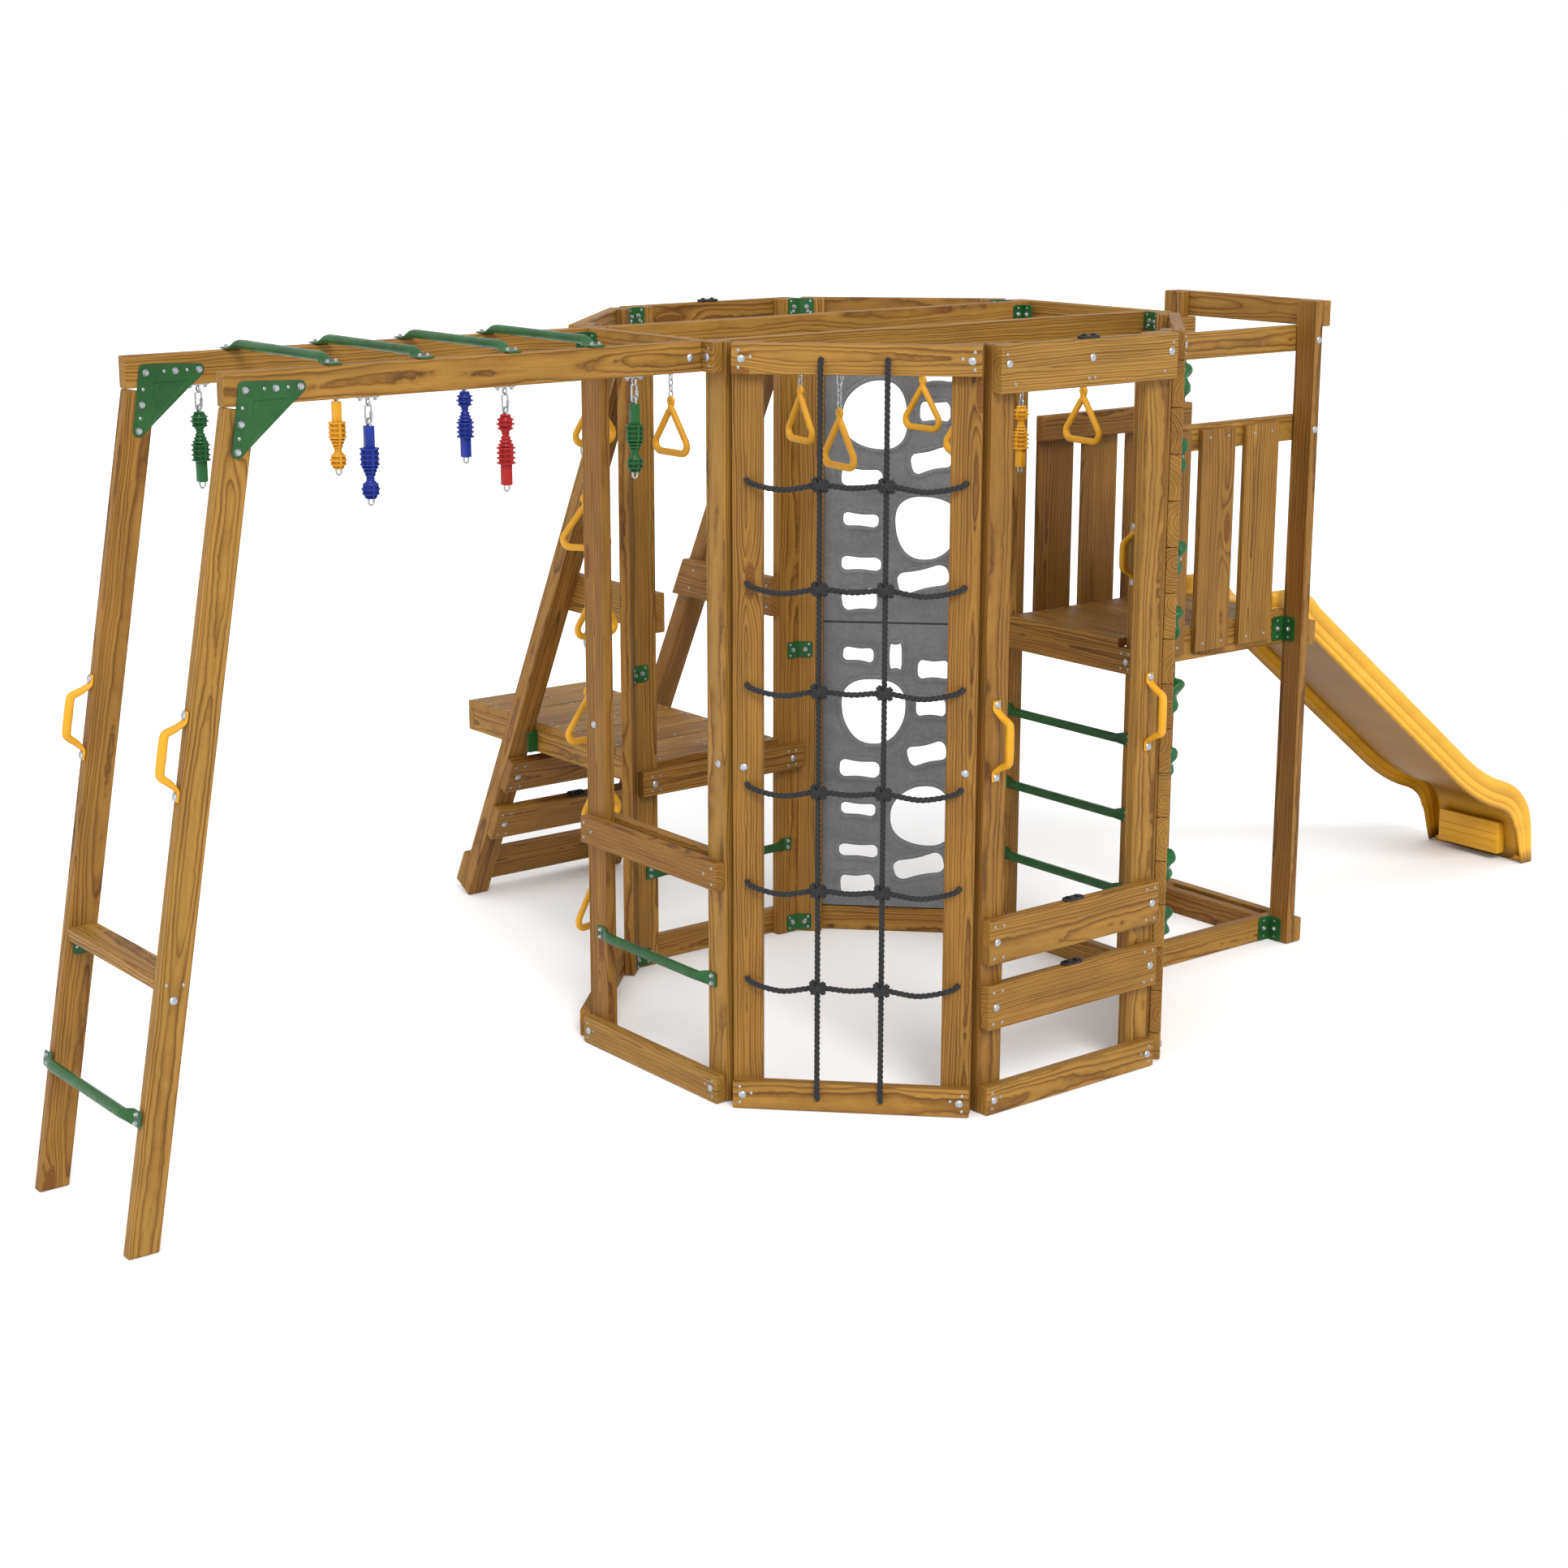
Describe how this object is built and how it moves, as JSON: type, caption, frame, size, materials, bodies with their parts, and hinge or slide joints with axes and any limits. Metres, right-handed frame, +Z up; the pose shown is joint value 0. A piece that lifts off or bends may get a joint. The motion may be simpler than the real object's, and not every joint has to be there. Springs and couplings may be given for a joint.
{
  "type": "climbing frame with monkey bars",
  "caption": "Timber climbing frame: an octagon of panels with a monkey-bar arm, hanging grips and rings, rope net, boards, moulded panels, a leaning ladder, a deck and a slide.",
  "frame": {"origin": "middle of the box round the whole frame, on the ground", "axes": "+X along the arm and the slide, pointing down the slide; +Y towards the leaning ladder; +Z up"},
  "size_m": [6.186, 3.079, 2.3654],
  "materials": {
    "timber": "stained softwood with dark grain",
    "green_steel": "powder coated",
    "rope": "twisted rope",
    "grey_plastic": "moulded, lightly textured",
    "slide_plastic": "satin moulded",
    "yellow_plastic": "satin moulded",
    "green_plastic": "satin moulded",
    "blue_plastic": "satin moulded",
    "red_plastic": "satin moulded",
    "black_plastic": "moulded",
    "zinc_steel": "zinc plated"
  },
  "bodies": {
    "structure": {"net_panel_frame": "timber", "cargo_net": "rope", "front_panel_frame": "timber", "wall_panel_frame": "timber", "board_wall": "timber", "deck_panel_frame": "timber", "deck_ladder_rung_1": "green_steel", "deck_ladder_rung_2": "green_steel", "deck_ladder_rung_3": "green_steel", "moulded_panel_frame": "timber", "moulded_panel_lower": "grey_plastic", "moulded_panel_upper": "grey_plastic", "platform_panel_frame": "timber", "platform_panel_rung": "green_steel", "ring_panel_frame": "timber", "arm_panel_frame": "timber", "arm_panel_rung": "green_steel", "arm_beam_near": "timber", "arm_beam_far": "timber", "arm_leg_near": "timber", "arm_leg_far": "timber", "arm_step": "timber", "arm_rung_1": "green_steel", "arm_rung_2": "green_steel", "arm_rung_3": "green_steel", "arm_rung_4": "green_steel", "leg_rung": "green_steel", "inner_beam_near": "timber", "inner_beam_far": "timber", "tower_end_frame": "timber", "tower_railing_near": "timber", "tower_railing_far": "timber", "deck_floor": "timber", "tower_base_frame": "timber", "slide": "slide_plastic", "leaning_leg_left": "timber", "leaning_leg_right": "timber", "leaning_step_lower": "timber", "leaning_step_upper": "timber", "leaning_foot_board": "timber", "platform": "timber"},
    "grip_arm_far_green": {"grip_arm_far_green": "green_plastic"},
    "grip_arm_far_yellow": {"grip_arm_far_yellow": "yellow_plastic"},
    "grip_arm_far_blue": {"grip_arm_far_blue": "blue_plastic"},
    "grip_arm_near_blue": {"grip_arm_near_blue": "blue_plastic"},
    "grip_arm_near_red": {"grip_arm_near_red": "red_plastic"},
    "grip_arm_near_green": {"grip_arm_near_green": "green_plastic"},
    "grip_inner_yellow": {"grip_inner_yellow": "yellow_plastic"},
    "ring_near_left": {"ring_near_left": "yellow_plastic"},
    "ring_near_middle": {"ring_near_middle": "yellow_plastic"},
    "ring_near_right": {"ring_near_right": "yellow_plastic"},
    "ring_far_left": {"ring_far_left": "yellow_plastic"},
    "ring_far_middle": {"ring_far_middle": "yellow_plastic"},
    "ring_far_right": {"ring_far_right": "yellow_plastic"},
    "ladder_ring_1": {"ladder_ring_1": "yellow_plastic"},
    "ladder_ring_2": {"ladder_ring_2": "yellow_plastic"},
    "ladder_ring_3": {"ladder_ring_3": "yellow_plastic"},
    "ladder_ring_4": {"ladder_ring_4": "yellow_plastic"},
    "ladder_ring_5": {"ladder_ring_5": "yellow_plastic"},
    "ladder_ring_6": {"ladder_ring_6": "yellow_plastic"}
  },
  "joints": [
    {"name": "grip_arm_far_green_swing", "type": "hinge", "parent": "structure", "child": "grip_arm_far_green", "pos_m": [-2.472, -0.29853, 2.22], "axis": [0, 1, 0], "range_deg": [-60, 35]},
    {"name": "grip_arm_far_yellow_swing", "type": "hinge", "parent": "structure", "child": "grip_arm_far_yellow", "pos_m": [-2.039, -0.29853, 2.22], "axis": [0, 1, 0], "range_deg": [-60, 60]},
    {"name": "grip_arm_far_blue_swing", "type": "hinge", "parent": "structure", "child": "grip_arm_far_blue", "pos_m": [-1.606, -0.29853, 2.22], "axis": [0, 1, 0], "range_deg": [-60, 60]},
    {"name": "grip_arm_near_blue_swing", "type": "hinge", "parent": "structure", "child": "grip_arm_near_blue", "pos_m": [-2.266, -0.88053, 2.22], "axis": [0, 1, 0], "range_deg": [-60, 60]},
    {"name": "grip_arm_near_red_swing", "type": "hinge", "parent": "structure", "child": "grip_arm_near_red", "pos_m": [-1.835, -0.88053, 2.22], "axis": [0, 1, 0], "range_deg": [-60, 60]},
    {"name": "grip_arm_near_green_swing", "type": "hinge", "parent": "structure", "child": "grip_arm_near_green", "pos_m": [-1.398, -0.88053, 2.22], "axis": [0, 1, 0], "range_deg": [-60, 60]},
    {"name": "grip_inner_yellow_swing", "type": "hinge", "parent": "structure", "child": "grip_inner_yellow", "pos_m": [0.124, -0.88053, 2.22], "axis": [0, 1, 0], "range_deg": [-35, 30]},
    {"name": "ring_near_left_swing", "type": "hinge", "parent": "structure", "child": "ring_near_left", "pos_m": [-0.635, -0.88053, 2.22], "axis": [0, 1, 0], "range_deg": [-60, 60]},
    {"name": "ring_near_middle_swing", "type": "hinge", "parent": "structure", "child": "ring_near_middle", "pos_m": [-0.118, -0.88053, 2.22], "axis": [0, 1, 0], "range_deg": [-32, 60]},
    {"name": "ring_near_right_swing", "type": "hinge", "parent": "structure", "child": "ring_near_right", "pos_m": [0.401, -0.88053, 2.22], "axis": [0, 1, 0], "range_deg": [-42, 40]},
    {"name": "ring_far_left_swing", "type": "hinge", "parent": "structure", "child": "ring_far_left", "pos_m": [-0.845, -0.29853, 2.22], "axis": [0, 1, 0], "range_deg": [-60, 42]},
    {"name": "ring_far_middle_swing", "type": "hinge", "parent": "structure", "child": "ring_far_middle", "pos_m": [-0.32, -0.29853, 2.22], "axis": [0, 1, 0], "range_deg": [-60, 60]},
    {"name": "ring_far_right_swing", "type": "hinge", "parent": "structure", "child": "ring_far_right", "pos_m": [0.213, -0.29853, 2.22], "axis": [0, 1, 0], "range_deg": [-60, 60]},
    {"name": "ladder_ring_1_swing", "type": "hinge", "parent": "structure", "child": "ladder_ring_1", "pos_m": [-0.9098, 0.03622, 2.22], "axis": [0.7071, 0.7071, 0], "range_deg": [-20, 20]},
    {"name": "ladder_ring_2_swing", "type": "hinge", "parent": "ladder_ring_1", "child": "ladder_ring_2", "pos_m": [-0.95356, 0.03162, 1.928], "axis": [0.7071, 0.7071, 0], "range_deg": [-20, 20]},
    {"name": "ladder_ring_3_swing", "type": "hinge", "parent": "ladder_ring_2", "child": "ladder_ring_3", "pos_m": [-0.93511, 0.00427, 1.585], "axis": [0.7071, 0.7071, 0], "range_deg": [-20, 20]},
    {"name": "ladder_ring_4_swing", "type": "hinge", "parent": "ladder_ring_3", "child": "ladder_ring_4", "pos_m": [-0.97396, 0.00087, 1.299], "axis": [0.7071, 0.7071, 0], "range_deg": [-20, 20]},
    {"name": "ladder_ring_5_swing", "type": "hinge", "parent": "ladder_ring_4", "child": "ladder_ring_5", "pos_m": [-0.92899, -0.0007, 0.951], "axis": [0.7071, 0.7071, 0], "range_deg": [-20, 20]},
    {"name": "ladder_ring_6_swing", "type": "hinge", "parent": "ladder_ring_5", "child": "ladder_ring_6", "pos_m": [-0.97035, -0.008, 0.674], "axis": [0.7071, 0.7071, 0], "range_deg": [-20, 20]}
  ]
}
